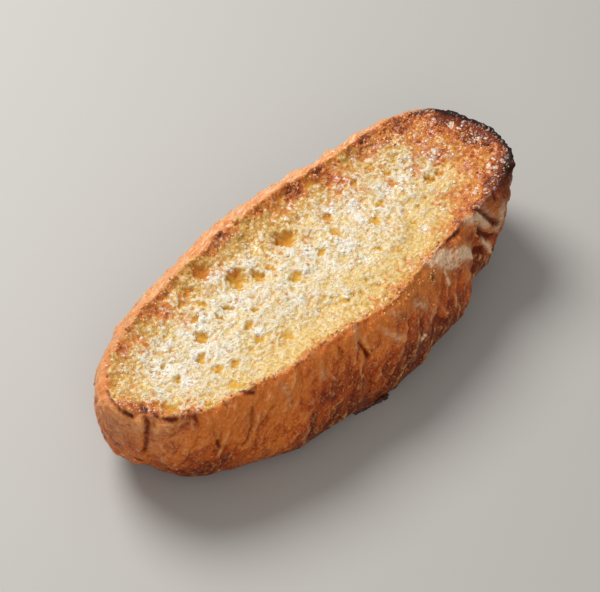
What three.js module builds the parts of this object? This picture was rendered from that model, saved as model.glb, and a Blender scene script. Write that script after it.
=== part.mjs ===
// Half of a short, fat, soft-crusted loaf, split lengthwise, soaked in egg and milk and toasted.
// It lies on the flat bottom of its crust with the cut face up. +X points to the end that
// browned most, +Y to the side whose rim browned most, and z = 0 is the surface it rests on.
// It is one closed skin made of three sheets: the cut face, the crust wall and the flat base.

import * as THREE from "three";
import { ImprovedNoise } from "three/addons/math/ImprovedNoise.js";
import { mergeGeometries, mergeVertices } from "three/addons/utils/BufferGeometryUtils.js";

// ---- Driving dimensions, millimetres ----

const HALF_LENGTH = 100; // of the cut face, along X
const HALF_WIDTH = 36.5; // of the cut face, along Y
const RIM_HEIGHT = 42; // mean height of the rim over the base
const DISH = 3.2; // how far the soaked crumb sags below the rim

// ---- Shape all round, one value for each equal step of angle, from +X towards +Y ----

// Distance of the rim from the middle, as a ratio to a plain ellipse: 24 steps of 15 degrees.
const RIM_SWELL = [
  0.99, 1.0, 1.05, 1.08, 0.98, 0.955, 0.975, 0.965, 1.0, 1.04, 1.03, 1.02,
  0.98, 0.965, 0.975, 0.93, 0.925, 0.875, 0.96, 0.935, 0.935, 1.07, 1.08, 1.015,
];
// Height of the rim over or under its mean: 12 steps of 30 degrees.
const RIM_RISE = [0.6, 0.6, 0.4, 0.6, 0.2, 0.2, -0.4, -1.0, -0.2, -0.6, 0.2, 0.6];
// How far the crust bulges out beyond the rim at its widest: 12 steps of 30 degrees.
const BULGE = [4, 7, 13, 15.5, 12, 6.5, 3, 3.5, 8.5, 10, 7, 0.5];
// How far the crust draws in again from its widest line to the edge of the base.
const UNDERCUT = [22, 15, 13, 12, 13, 16, 20, 13, 7.5, 6, 7, 17];
// Height of the widest line of the crust.
const WAIST = [28, 23, 21, 19.5, 21, 25, 27, 22, 17, 17, 26, 34];

// ---- Section of the crust, from the rim down ----

const SHOULDER_START = THREE.MathUtils.degToRad(30); // how steeply the crust leaves the rim
const FOOT_END = THREE.MathUtils.degToRad(80); // how nearly level it meets the base

// ---- Fineness of the sheets ----

const CELLS_ALONG = 80; // of the cut face, end to end
const CELLS_ACROSS = 34; // of the cut face, side to side
const SHOULDER_ROWS = 6; // of the crust wall, from the rim to its widest line
const FOOT_ROWS = 6; // of the crust wall, from its widest line to the base

const WALL_ROWS = SHOULDER_ROWS + FOOT_ROWS;
const TURN = 2 * Math.PI;
const noise = new ImprovedNoise();

// ---- Relief of the crumb ----

// Swells of the cut face: size across, height and seed.
const LUMPS = [
  { size: 16, height: 1.3, seed: 1.5 },
  { size: 7, height: 0.7, seed: 2.5 },
];

// Larger hollows in the cut face: place, length along X, width along Y and depth.
const HOLLOWS = [
  { x: 1, y: 17, length: 11, width: 9, depth: 2.6 },
  { x: -26, y: 15, length: 8, width: 8, depth: 2.2 },
  { x: -31, y: 27.5, length: 9, width: 7, depth: 1.5 },
  { x: -43, y: 23, length: 6, width: 5, depth: 1.2 },
  { x: -18, y: 10, length: 5, width: 5, depth: 1.2 },
  { x: -11, y: 0, length: 6, width: 5, depth: 1.4 },
  { x: -26, y: 1, length: 5, width: 5, depth: 1.2 },
  { x: -41, y: 8, length: 7, width: 5, depth: 1.5 },
  { x: -37, y: -17, length: 9, width: 6, depth: 1.3 },
  { x: -56, y: 5, length: 6, width: 5, depth: 1.3 },
  { x: -63, y: -1, length: 5, width: 5, depth: 1.1 },
  { x: -88, y: -7, length: 11, width: 6, depth: 1.2 },
  { x: 62, y: -4, length: 6, width: 5, depth: 1.5 },
  { x: 68, y: -5, length: 5, width: 5, depth: 1.2 },
];

// Smaller pores, scattered out to a share of the way to the rim. The longest are half as long
// again as they are wide.
const PORES = { count: 60, spread: 0.86, widths: [3.5, 5.5], stretches: [1, 1.5], depths: [0.5, 1.1] };

// How things fade between the middle of the cut face and the rim, as powers of the share of the
// way out: the higher, the nearer to the rim it all happens.
const FADE = { swell: 3, dish: 6, calm: 8, ragged: 16 };

// ---- Relief of the crust ----

// Creases and folds. Each runs down the wall from a share `from` to a share `to` of the way
// from the rim to the base, at `angle` degrees round, drifting by `lean` degrees on the way.
// A positive depth is a furrow and a negative one a fold that stands out.
const FOLDS = [
  { angle: 190, lean: 1, from: 0.1, to: 0.75, width: 2.4, depth: 2.0 },
  { angle: 182, lean: 3, from: 0.1, to: 0.6, width: 3, depth: 0.9 },
  { angle: 174, lean: -3, from: 0.1, to: 0.7, width: 3, depth: 0.8 },
  { angle: 212, lean: 5, from: 0.3, to: 0.9, width: 2.6, depth: 1.1 },
  { angle: 219, lean: 5, from: 0.35, to: 0.9, width: 2.2, depth: 0.9 },
  { angle: 231, lean: 5, from: 0.2, to: 0.7, width: 2.6, depth: 0.9 },
  { angle: 245, lean: 4, from: 0.3, to: 0.9, width: 3, depth: 0.6 },
  { angle: 260.5, lean: 10, from: 0.12, to: 0.36, width: 2, depth: 1.6 },
  { angle: 268, lean: 6, from: 0.1, to: 0.5, width: 2.6, depth: 0.7 },
  { angle: 284, lean: -4, from: 0.4, to: 0.95, width: 3, depth: 0.9 },
  { angle: 290, lean: -4, from: 0.35, to: 0.95, width: 7, depth: -1.8 },
  { angle: 304, lean: -7, from: 0.15, to: 1, width: 7, depth: 5.5 },
  { angle: 307, lean: 0, from: 0, to: 0.3, width: 2.4, depth: 1.2 },
  { angle: 336, lean: -4, from: 0.1, to: 0.8, width: 4, depth: 1.6 },
  { angle: 349, lean: 0, from: 0.05, to: 0.6, width: 3, depth: 1.2 },
];
// Fainter creases, scattered all round.
const STRAYS = {
  count: 20, leans: [-4, 4], froms: [0.1, 0.5], tos: [0.6, 1], widths: [1.8, 3.4], depths: [0.2, 0.7],
};

// Swells of the crust: size across, size up and down, and height.
const SWELLS = [
  { size: 21, tall: 21, height: 1.5 },
  { size: 7, tall: 12, height: 0.45 },
];

// The burnt lip of egg that ran out under the foot.
const LIPS = [
  { angle: 260, spread: 3.6, reach: 2.4 },
  { angle: 266.5, spread: 1.3, reach: 1.6 },
];
const LIP_SHARE = 0.92; // how far down the wall the lip stands out
const LIP_HEIGHT = 0.06; // of the lip, as a share of the wall

// The charred end: the rim there stands up in a brittle lip.
const CHAR = { angle: 8, spread: 34, rise: 1.2 };
// The torn edge all round: teeth `size` apart that rise and fall, and bites that go in and out.
const RAGGED = { size: 3.7, rise: 0.7, charRise: 0.7, seed: 4.5, bite: 6, nibble: 1.1, biteSeed: 9.5 };

// ---- Small helpers ----

// A repeatable stream of numbers from 0 to 1.
function randomStream(seed) {
  let state = seed;
  return () => {
    state = (state * 48271) % 2147483647;
    return state / 2147483647;
  };
}

function between([low, high], share) {
  return low + (high - low) * share;
}

// A closed list of values, read smoothly at any angle in radians.
function around(values, angle) {
  const count = values.length;
  const place = (((angle / TURN) % 1) + 1) * count;
  const first = Math.floor(place);
  const t = place - first;
  const [a, b, c, d] = [-1, 0, 1, 2].map((step) => values[(first + step + count) % count]);
  const slopeB = (c - a) / 2;
  const slopeC = (d - b) / 2;
  const square = 3 * (c - b) - 2 * slopeB - slopeC;
  const cube = 2 * (b - c) + slopeB + slopeC;
  return b + t * (slopeB + t * (square + t * cube));
}

// A round hump, 1 in the middle and 0.37 at one width away.
function hump(distance, width) {
  return Math.exp(-((distance / width) ** 2));
}

// Signed difference of two angles in degrees, from -180 to 180.
function turnBetween(a, b) {
  return ((((a - b) % 360) + 540) % 360) - 180;
}

// ---- The rim, shared by the cut face and the crust wall ----

// How charred the rim is, from 0 to 1.
function charAt(angle) {
  return hump(turnBetween(THREE.MathUtils.radToDeg(angle), CHAR.angle), CHAR.spread);
}

// The rim without its raggedness.
function smoothRim(angle) {
  const swell = around(RIM_SWELL, angle);
  const x = HALF_LENGTH * swell * Math.cos(angle);
  const y = HALF_WIDTH * swell * Math.sin(angle);
  return new THREE.Vector3(x, y, RIM_HEIGHT + around(RIM_RISE, angle) + CHAR.rise * charAt(angle));
}

// How the torn, toasted edge departs from the smooth rim.
function raggedness(angle) {
  const rim = smoothRim(angle);
  const teeth = noise.noise(rim.x / RAGGED.size, rim.y / RAGGED.size, RAGGED.seed);
  const rise = teeth * (RAGGED.rise + RAGGED.charRise * charAt(angle));
  const bites = noise.noise(rim.x / RAGGED.bite, rim.y / RAGGED.bite, RAGGED.biteSeed);
  return outwardAt(angle).multiplyScalar(RAGGED.nibble * bites).setZ(rise);
}

function rimPoint(angle) {
  return smoothRim(angle).add(raggedness(angle));
}

// The level direction that points straight out of the rim.
function outwardAt(angle) {
  return new THREE.Vector3(Math.cos(angle) / HALF_LENGTH, Math.sin(angle) / HALF_WIDTH, 0).normalize();
}

// ---- The cut face ----

function scatteredPores() {
  const random = randomStream(71);
  return Array.from({ length: PORES.count }, () => {
    const angle = TURN * random();
    const reach = PORES.spread * Math.sqrt(random());
    const width = between(PORES.widths, random());
    return {
      x: HALF_LENGTH * reach * Math.cos(angle),
      y: HALF_WIDTH * reach * Math.sin(angle),
      length: width * between(PORES.stretches, random()),
      width,
      depth: between(PORES.depths, random()),
    };
  });
}

const pores = [...HOLLOWS, ...scatteredPores()];

// How deep the hollows and pores are at a place: each is a pan with a flat floor and steep sides.
function poreDepth(x, y) {
  return pores.reduce((depth, pore) => {
    const away = Math.hypot((x - pore.x) / pore.length, (y - pore.y) / pore.width) * 2;
    return depth + pore.depth * Math.exp(-(away ** 4));
  }, 0);
}

// Swells of the cut face over and under its plain dish.
function lumpHeight(x, y) {
  return LUMPS.reduce((sum, { size, height, seed }) => {
    return sum + height * noise.noise(x / size, y / size, seed);
  }, 0);
}

// A point of the cut face, from its place (p, q) in the unit disc.
function crumbPoint(p, q) {
  const reach = Math.min(Math.hypot(p, q), 1);
  const angle = Math.atan2(q, p);
  const rim = smoothRim(angle);
  const plain = new THREE.Vector3(HALF_LENGTH * p, HALF_WIDTH * q, RIM_HEIGHT);
  const swollen = new THREE.Vector3(rim.x * reach, rim.y * reach, rim.z);
  const point = plain.lerp(swollen, reach ** FADE.swell);
  point.addScaledVector(raggedness(angle), reach ** FADE.ragged);
  const inner = 1 - reach ** FADE.calm;
  const sag = DISH * (1 - reach ** FADE.dish);
  point.z += inner * (lumpHeight(point.x, point.y) - poreDepth(point.x, point.y)) - sag;
  return point;
}

// A square place, each side from -1 to 1, squeezed into the unit disc.
function squareToDisc(u, v) {
  return [u * Math.sqrt(1 - v ** 2 / 2), v * Math.sqrt(1 - u ** 2 / 2)];
}

function cutFace() {
  const sheet = new THREE.PlaneGeometry(2, 2, CELLS_ALONG, CELLS_ACROSS);
  const place = sheet.getAttribute("position");
  for (let i = 0; i < place.count; i++) {
    const [p, q] = squareToDisc(place.getX(i), place.getY(i));
    const point = crumbPoint(p, q);
    place.setXYZ(i, point.x, point.y, point.z);
  }
  return sheet;
}

// The angles of the vertices on the edge of the cut face, once round from -45 degrees.
function rimAngles() {
  const angles = [];
  const addSide = (cells, corner, ahead) => {
    for (let i = 0; i < cells; i++) {
      const share = (2 * i) / cells;
      const [p, q] = squareToDisc(corner[0] + ahead[0] * share, corner[1] + ahead[1] * share);
      angles.push(Math.atan2(q, p));
    }
  };
  addSide(CELLS_ACROSS, [1, -1], [0, 1]);
  addSide(CELLS_ALONG, [1, 1], [-1, 0]);
  addSide(CELLS_ACROSS, [-1, 1], [0, -1]);
  addSide(CELLS_ALONG, [-1, -1], [1, 0]);
  return angles;
}

// ---- The crust wall ----

function strayFolds() {
  const random = randomStream(1907);
  return Array.from({ length: STRAYS.count }, () => ({
    angle: 360 * random(),
    lean: between(STRAYS.leans, random()),
    from: between(STRAYS.froms, random()),
    to: between(STRAYS.tos, random()),
    width: between(STRAYS.widths, random()),
    depth: between(STRAYS.depths, random()),
  }));
}

const folds = [...FOLDS, ...strayFolds()];

// How far the folds and creases stand in, at a place on the wall.
function foldDepth(angle, share) {
  const degrees = THREE.MathUtils.radToDeg(angle);
  const pace = Math.hypot(HALF_LENGTH * Math.sin(angle), HALF_WIDTH * Math.cos(angle));
  const perDegree = THREE.MathUtils.degToRad(pace);
  return folds.reduce((depth, fold) => {
    const away = turnBetween(degrees, fold.angle + fold.lean * (share - 0.5)) * perDegree;
    const middle = (fold.from + fold.to) / 2;
    const run = hump(share - middle, (fold.to - fold.from) / 2);
    return depth + fold.depth * run * hump(away, fold.width);
  }, 0);
}

function lipReach(angle, share) {
  const degrees = THREE.MathUtils.radToDeg(angle);
  return LIPS.reduce((reach, lip) => {
    const along = hump(turnBetween(degrees, lip.angle), lip.spread);
    return reach + lip.reach * along * hump(share - LIP_SHARE, LIP_HEIGHT);
  }, 0);
}

// The plain section of the wall, `row` rows below the rim: how far out it has swelled, how far
// it has drawn in again, and how high it is.
function wallSection(angle, row, rimZ) {
  const bulge = around(BULGE, angle);
  const waist = around(WAIST, angle);
  if (row <= SHOULDER_ROWS) {
    const turn = THREE.MathUtils.lerp(SHOULDER_START, Math.PI / 2, row / SHOULDER_ROWS);
    const out = (Math.sin(turn) - Math.sin(SHOULDER_START)) / (1 - Math.sin(SHOULDER_START));
    const up = Math.cos(turn) / Math.cos(SHOULDER_START);
    return { out: bulge * out, inset: 0, height: waist + (rimZ - waist) * up };
  }
  const turn = FOOT_END * ((row - SHOULDER_ROWS) / FOOT_ROWS);
  const inset = around(UNDERCUT, angle) * (1 - Math.cos(turn));
  return { out: bulge, inset, height: waist * (1 - Math.sin(turn) / Math.sin(FOOT_END)) };
}

// How far the crust stands out from its plain section.
function crustRelief(point, angle, share) {
  const swells = SWELLS.reduce((sum, { size, tall, height }) => {
    return sum + height * noise.noise(point.x / size, point.y / size, point.z / tall);
  }, 0);
  const calm = Math.sin(Math.PI * share) ** 0.5; // the relief dies out at the rim and at the base
  return calm * (swells - foldDepth(angle, share)) + lipReach(angle, share);
}

function wallPoint(angle, row) {
  const point = rimPoint(angle);
  if (row === 0) return point;
  const { out, inset, height } = wallSection(angle, row, point.z);
  const outward = outwardAt(angle);
  point.addScaledVector(outward, out);
  point.x *= 1 - inset / HALF_LENGTH;
  point.y *= 1 - inset / HALF_WIDTH;
  point.z = height;
  point.addScaledVector(outward, crustRelief(point, angle, row / WALL_ROWS));
  if (row === WALL_ROWS) point.z = 0;
  return point;
}

function crustWall(angles) {
  const sheet = new THREE.PlaneGeometry(1, 1, angles.length, WALL_ROWS);
  const place = sheet.getAttribute("position");
  const columns = angles.length + 1;
  for (let i = 0; i < place.count; i++) {
    const point = wallPoint(angles[(i % columns) % angles.length], Math.floor(i / columns));
    place.setXYZ(i, point.x, point.y, point.z);
  }
  return sheet;
}

// ---- The flat base ----

function flatBase(angles) {
  const edge = angles.map((angle) => wallPoint(angle, WALL_ROWS));
  const sheet = new THREE.ShapeGeometry(new THREE.Shape(edge.map((p) => new THREE.Vector2(p.x, p.y))));
  sheet.setIndex([...sheet.getIndex().array].reverse()); // it faces down
  return sheet;
}

// ---- The whole, one closed skin ----

function toastGeometry() {
  const angles = rimAngles();
  const sheets = [cutFace(), crustWall(angles), flatBase(angles)];
  for (const sheet of sheets) {
    sheet.deleteAttribute("normal");
    sheet.deleteAttribute("uv");
  }
  const skin = mergeVertices(mergeGeometries(sheets), 1e-3);
  skin.computeVertexNormals();
  return skin;
}

// Moves a shape so that the middle of its bounding box's bottom is the origin.
function standOnOrigin(shape) {
  shape.computeBoundingBox();
  const middle = shape.boundingBox.getCenter(new THREE.Vector3());
  return shape.translate(-middle.x, -middle.y, -shape.boundingBox.min.z);
}

const bread = new THREE.MeshStandardMaterial({ color: "#d39a55", roughness: 0.72, metalness: 0 });
const toast = new THREE.Mesh(standOnOrigin(toastGeometry()), bread);
toast.name = "toast";

const part = new THREE.Group();
part.add(toast);

export default part;
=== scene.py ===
"""French toast: the look of one half of a small loaf, fried and dusted with sugar, over its CAD frame."""

import math
from types import SimpleNamespace

import bmesh
import bpy
import numpy as np
from bpy.props import FloatProperty, FloatVectorProperty, PointerProperty
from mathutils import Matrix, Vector
from mathutils.bvhtree import BVHTree
from mathutils.kdtree import KDTree


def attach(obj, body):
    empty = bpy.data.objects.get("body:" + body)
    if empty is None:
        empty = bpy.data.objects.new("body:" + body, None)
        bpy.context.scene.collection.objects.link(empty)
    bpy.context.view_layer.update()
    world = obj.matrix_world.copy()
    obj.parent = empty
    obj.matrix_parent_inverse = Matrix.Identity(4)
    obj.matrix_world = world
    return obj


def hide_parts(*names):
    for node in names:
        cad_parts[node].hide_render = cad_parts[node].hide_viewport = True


bl_info = {
    "name": "French Toast",
    "version": (1, 0, 0),
    "blender": (4, 5, 0),
    "location": "View3D > Sidebar > Toast",
    "description": "Builds fried bread with crumb, crust, loose crumbs and powdered sugar",
    "category": "Add Mesh",
}

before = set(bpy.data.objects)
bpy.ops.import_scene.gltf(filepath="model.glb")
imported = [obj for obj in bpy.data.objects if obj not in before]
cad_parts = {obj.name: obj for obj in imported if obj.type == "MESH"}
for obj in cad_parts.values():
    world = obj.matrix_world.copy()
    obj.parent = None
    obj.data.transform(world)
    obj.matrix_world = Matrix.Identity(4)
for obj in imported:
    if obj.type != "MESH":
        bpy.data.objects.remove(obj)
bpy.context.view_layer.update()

MM = 0.001
TO_MM = 1000.0  # what turns metres into mm
WELD = 0.001 * MM  # vertices closer than this are one, and lower than this they are on the floor
WALL_ROWS = 12  # rows of faces in the CAD wall, from the flat base up to the rim
HALF_LENGTH = 100.0  # half axes of the rim's plain ellipse, in mm
HALF_WIDTH = 36.5
RIM_CENTRE = (-0.392, -3.470)  # where that ellipse stands in the frame, in mm
RIM_STEPS = 8  # points set along each edge of the rim
RIM_BLUR = 7.0  # degrees over which the rim's dents are smoothed away before streaks start from it
RIM_STRIP = 1.6  # the crust is as finely divided as the cut side this far from the rim, in mm
DARK_MARK = 0.12  # and where a crease is at least this dark or this light
PALE_MARK = 0.3  # and where the skin is scraped off by at least this share
LEAN = 0.45  # how far a wrinkle moves towards the near end for each mm that it runs down the wall
BASE_SKIN = 0.3  # faces no higher than this are the flat base, in mm
QUAD_ANGLE = math.radians(60)  # triangles that meet flatter than this are joined to quads
BLUR_STEPS = 6  # smoothing passes that tell the hollows of the relief
FAR_REACH = 60.0  # the far end's toasting and stray sugar grow up to this many mm from the middle


# -------- helpers


def srgb(red, green, blue):
    """A colour given as on screen, 0 to 255, as Blender's linear value."""
    parts = []
    for channel in (red, green, blue):
        share = channel / 255
        parts.append(share / 12.92 if share <= 0.04045 else ((share + 0.055) / 1.055) ** 2.4)
    return (*parts, 1.0)


def colour_prop(name, description, *screen):
    value = srgb(*screen)
    return FloatVectorProperty(
        name=name, description=description, subtype="COLOR", size=4, min=0, max=1, default=value
    )


def number_prop(name, description, value, **kind):
    return FloatProperty(name=name, description=description, default=value, **kind)


def both_ways(operation):
    """Two methods that make a Math node of an operator, with the term before it and after it."""

    def forward(self, other):
        return self.maths(operation, self, other)

    def reflected(self, other):
        return self.maths(operation, other, self)

    return forward, reflected


class Term:
    """A socket of a node tree that takes part in Python expressions."""

    def __init__(self, tree, socket=None):
        self.tree = tree
        self.socket = socket

    def make(self, kind, settings=None, inputs=None, out=0):
        """Adds a node, settings first and then values or links, and returns one output if it has any."""
        node = self.tree.nodes.new(kind)
        for name, value in (settings or {}).items():
            setattr(node, name, value)
        for key, value in (inputs or {}).items():
            if isinstance(value, Term):
                self.tree.links.new(value.socket, node.inputs[key])
            else:
                node.inputs[key].default_value = value
        return Term(self.tree, node.outputs[out] if node.outputs else None)

    def sibling(self, out):
        """Another output of the node this one comes from."""
        return Term(self.tree, self.socket.node.outputs[out])

    def maths(self, operation, *values, clamp=False):
        settings = {"operation": operation, "use_clamp": clamp}
        return self.make("ShaderNodeMath", settings, dict(enumerate(values)))

    def vector_maths(self, operation, *values, out=0):
        return self.make("ShaderNodeVectorMath", {"operation": operation}, dict(enumerate(values)), out)

    __add__, __radd__ = both_ways("ADD")
    __sub__, __rsub__ = both_ways("SUBTRACT")
    __mul__, __rmul__ = both_ways("MULTIPLY")
    __truediv__, __rtruediv__ = both_ways("DIVIDE")
    __pow__, __rpow__ = both_ways("POWER")

    def __neg__(self):
        return self.maths("MULTIPLY", self, -1.0)

    def clamp(self):
        return self.maths("ADD", self, 0.0, clamp=True)

    def largest(self, other):
        return self.maths("MAXIMUM", self, other)

    def absolute(self):
        return self.maths("ABSOLUTE", self)

    def ramp(self, low, high):
        """A smooth step from 0 at low to 1 at high."""
        return self.make(
            "ShaderNodeMapRange",
            {"interpolation_type": "SMOOTHSTEP"},
            {"Value": self, "From Min": low, "From Max": high},
        )

    def scaled(self, factor):
        """This vector times a number or, axis by axis, a vector."""
        if isinstance(factor, tuple):
            return self.vector_maths("MULTIPLY", self, factor)
        return self.make("ShaderNodeVectorMath", {"operation": "SCALE"}, {0: self, "Scale": factor})

    def moved(self, other):
        return self.vector_maths("ADD", self, other)

    def split(self):
        first = self.make("ShaderNodeSeparateXYZ", None, {0: self})
        return first, first.sibling(1), first.sibling(2)

    def noise(self, scale, detail=3.0, rough=0.6, warp=0.0, out=0):
        """Noise from 0 to 1 on this vector, about even round 0.5."""
        inputs = {"Vector": self, "Scale": scale, "Detail": detail, "Roughness": rough, "Distortion": warp}
        return self.make("ShaderNodeTexNoise", None, inputs, out)

    def cells(self, scale, smooth=None):
        """Distance from the nearest of many scattered points, smoothed or not."""
        if smooth is None:
            return self.make("ShaderNodeTexVoronoi", None, {"Vector": self, "Scale": scale})
        inputs = {"Vector": self, "Scale": scale, "Smoothness": smooth}
        return self.make("ShaderNodeTexVoronoi", {"feature": "SMOOTH_F1"}, inputs)

    def over(self, colour, share):
        """This colour with another laid over it by a share."""
        return self.make("ShaderNodeMix", {"data_type": "RGBA"}, {0: share, 6: self, 7: colour}, 2)

    def layered(self, *layers):
        """This colour with others laid over it in turn, each by its share."""
        colour = self
        for above, share in layers:
            colour = colour.over(above, share)
        return colour

    def attribute(self, name, out="Fac"):
        """A value or vector of the mesh, read in a shader."""
        return self.make("ShaderNodeAttribute", {"attribute_name": name}).sibling(out)

    def field(self, name, kind="FLOAT"):
        """A value or vector of the mesh, read in Geometry Nodes."""
        return self.make("GeometryNodeInputNamedAttribute", {"data_type": kind}, {"Name": name})


def new_material(name):
    """A material with an empty tree, a term to start expressions from, and the place in mm."""
    material = bpy.data.materials.new(name)
    material.use_nodes = True
    material.node_tree.nodes.clear()
    start = Term(material.node_tree)
    return material, start, start.make("ShaderNodeTexCoord").sibling("Object").scaled(TO_MM)


def finish_material(material, start, inputs, relief=None, deep=1.0, strength=1.0):
    """Ends a material with a Principled surface, with a bump as deep in mm as given for a relief of 1."""
    if relief is not None:
        settings = {"Strength": strength, "Distance": deep * MM, "Height": relief}
        inputs["Normal"] = start.make("ShaderNodeBump", None, settings)
    shader = start.make("ShaderNodeBsdfPrincipled", {"subsurface_method": "RANDOM_WALK"}, inputs)
    shader.make("ShaderNodeOutputMaterial", None, {"Surface": shader})
    return material


def new_geometry_tree(name, values):
    """A Geometry Nodes tree with named inputs, one for each number or thing it will be given."""
    tree = bpy.data.node_groups.new(name, "GeometryNodeTree")
    tree.interface.new_socket("Geometry", in_out="INPUT", socket_type="NodeSocketGeometry")
    kinds = {float: "Float", int: "Int", bpy.types.Object: "Object", bpy.types.Material: "Material"}
    for label, value in values.items():
        tree.interface.new_socket(label, in_out="INPUT", socket_type="NodeSocket" + kinds[type(value)])
    tree.interface.new_socket("Geometry", in_out="OUTPUT", socket_type="NodeSocketGeometry")
    entry = Term(tree).make("NodeGroupInput").socket.node
    return tree, {socket.name: Term(tree, socket) for socket in entry.outputs if socket.name}


def close_geometry_tree(geometry, material):
    """Ends a tree with Realize Instances and Set Material."""
    real = geometry.make("GeometryNodeRealizeInstances", None, {"Geometry": geometry})
    done = real.make("GeometryNodeSetMaterial", None, {"Geometry": real, "Material": material})
    done.make("NodeGroupOutput", None, {"Geometry": done})


def linked(name, data):
    """A new object in the scene, at the origin."""
    holder = bpy.data.objects.new(name, data)
    bpy.context.scene.collection.objects.link(holder)
    return holder


def plain_mesh(holder, name):
    """The object's evaluated mesh, and the object removed."""
    graph = bpy.context.evaluated_depsgraph_get()
    graph.update()
    mesh = bpy.data.meshes.new_from_object(holder.evaluated_get(graph), depsgraph=graph)
    mesh.name = name
    bpy.data.objects.remove(holder)
    return mesh


def run_tree(mesh, tree, values, name):
    """Runs a tree on a mesh and keeps the result as a plain mesh object."""
    holder = linked(name + "_source", mesh)
    modifier = holder.modifiers.new("Nodes", "NODES")
    modifier.node_group = tree
    for item in tree.interface.items_tree:
        if item.in_out == "INPUT" and item.name in values:
            modifier[item.identifier] = values[item.name]
    made = linked(name, plain_mesh(holder, name))
    made.data.shade_smooth()
    return made


def store(mesh, name, values):
    """Keeps one number, or three, for each vertex."""
    values = np.asarray(values, np.float32)
    vector = values.ndim == 2
    attribute = mesh.attributes.new(name, "FLOAT_VECTOR" if vector else "FLOAT", "POINT")
    attribute.data.foreach_set("vector" if vector else "value", values.ravel())


def vertex_places(mesh):
    places = np.zeros(len(mesh.vertices) * 3)
    mesh.vertices.foreach_get("co", places)
    return places.reshape(-1, 3)


# -------- bread: shape

# Width in mm of the browned ring inside the rim, every 15 degrees from the far end over the back.
RING_WIDTH = (
    17, 18, 18, 14, 6.5, 6, 6.5, 5, 4, 4.4, 3.4, 3, 3.8, 3, 2.4, 2.4, 1.8, 2.4, 2, 3, 4, 13, 13, 15,
)
# Width in mm of the golden band inside the browned ring, at the same places.
GOLD_WIDTH = (
    32, 32, 32, 30, 27, 26, 25, 23, 19, 16, 13, 11, 11, 9, 7, 5, 4.5, 4.5, 7, 9, 10, 20, 22, 26,
)
# Open pores: place on the cut face, radius and depth in mm, and how orange the inside is.
PORES = (
    (3, 15, 4.7, 2.6, 0.5), (-25, 14, 4.4, 2.0, 0.35), (-19, 9, 2.9, 1.8, 0.4), (-33, 25, 4.3, 1.6, 0.9),
    (-43, 22, 3.0, 1.2, 0.8), (-44, 14, 2.1, 1.2, 0.4), (-49, 19, 1.5, 0.9, 0.3), (-39, 6, 1.9, 1.4, 0.3),
    (-44, 5, 1.4, 1.0, 0.5), (-33, -2, 1.7, 1.2, 0.2), (-40, -6, 2.3, 1.6, 0.3), (-55, 4, 3.1, 1.8, 0.3),
    (-63, -3, 2.6, 1.6, 0.2), (-43, -13, 2.2, 1.2, 0.3), (-63, -11, 2.6, 1.0, 0.5), (-57, -14, 2.4, 1.3, 0.4),
    (-75, 3, 1.2, 1.0, 0.3), (-79, 4, 1.4, 1.0, 0.4), (-76, -4, 1.7, 1.2, 0.2), (-68, 6, 1.0, 0.8, 0.4),
    (-51, 11, 1.8, 1.0, 0.3), (-88, -12, 3.0, 1.3, 0.4), (-90, -7, 1.3, 1.2, 0.8), (-78, -21, 2.3, 1.0, 0.6),
    (-65, -22, 3.2, 0.7, 0.2), (-10, -2, 2.9, 1.5, 0.2), (6, 0, 2.1, 1.2, 0.3), (17, 2, 2.6, 1.0, 0.5),
    (22, 10, 2.1, 1.0, 0.6), (40, -1, 2.4, 1.0, 0.3), (32, -5, 2.8, 0.9, 0.3), (21, -16, 1.9, 1.0, 0.4),
    (52, 2, 1.9, 1.0, 0.5), (36, 21, 2.1, 1.1, 0.6), (42, 14, 1.7, 1.0, 0.5), (52, 14, 2.3, 1.2, 0.3),
    (55, 8, 2.0, 1.1, 0.5), (64, -6, 2.4, 1.8, 0.4), (69, -7, 1.8, 1.2, 0.2), (29, 26, 2.6, 0.8, 0.6),
    (41, -17, 1.5, 0.9, 0.4), (-13, 8, 2.0, 1.0, 0.6), (-9, -24, 1.6, 0.6, 0.2), (-34, -19, 2.7, 0.8, 0.3),
    (25, -23, 1.6, 0.7, 0.3), (15, 29, 2.7, 0.7, 0.4),
)
# Where the sugar lies thickest: place, radius in mm and share.
WHITE_SPOTS = (
    (-51, 8, 2.9, 1), (-31, 20, 2.5, 0.8), (-59, 10, 2.2, 0.8), (-69, 11, 2.9, 0.7), (-60, 0, 3.6, 0.6),
    (-56, -7, 2.9, 0.7), (-78, 5, 3.1, 1), (-77, 11, 2.2, 0.7), (-75, 1, 2.7, 0.9), (-66, -1, 2.8, 0.6),
    (-76, -8, 2.7, 0.7), (-85, -5, 2.9, 0.4), (-34, 11, 3.2, 0.6), (-16, 15, 2.2, 0.8), (-32, 4, 3.1, 0.5),
    (-39, -10, 2.2, 0.7), (-3, 7, 2.3, 0.7), (3, 2, 3.0, 0.8), (-19, -11, 3.2, 0.4), (14, -5, 3.4, 0.8),
    (14, -15, 2.5, 1), (32, 7, 2.7, 0.8), (25, 12, 1.8, 0.8), (24, 17, 1.6, 0.7), (47, 3, 3.0, 0.7),
    (57, 2, 2.5, 0.7), (40, -22, 2.2, 1), (31, -11, 2.2, 0.6), (29, 0, 2.7, 0.6), (-5, -21, 2.9, 0.5),
    (-21, -28, 3.1, 0.4), (-57, -24, 2.8, 0.5), (53, -20, 2.8, 0.6), (67, -16, 1.6, 0.7), (77, 0, 2.7, 0.6),
    (66, 7, 1.6, 0.7), (67, 20, 1.5, 0.6), (46, -23, 2.0, 0.5), (71, 0, 3.3, 0.5), (78, -5, 2.6, 0.5),
)
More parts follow.
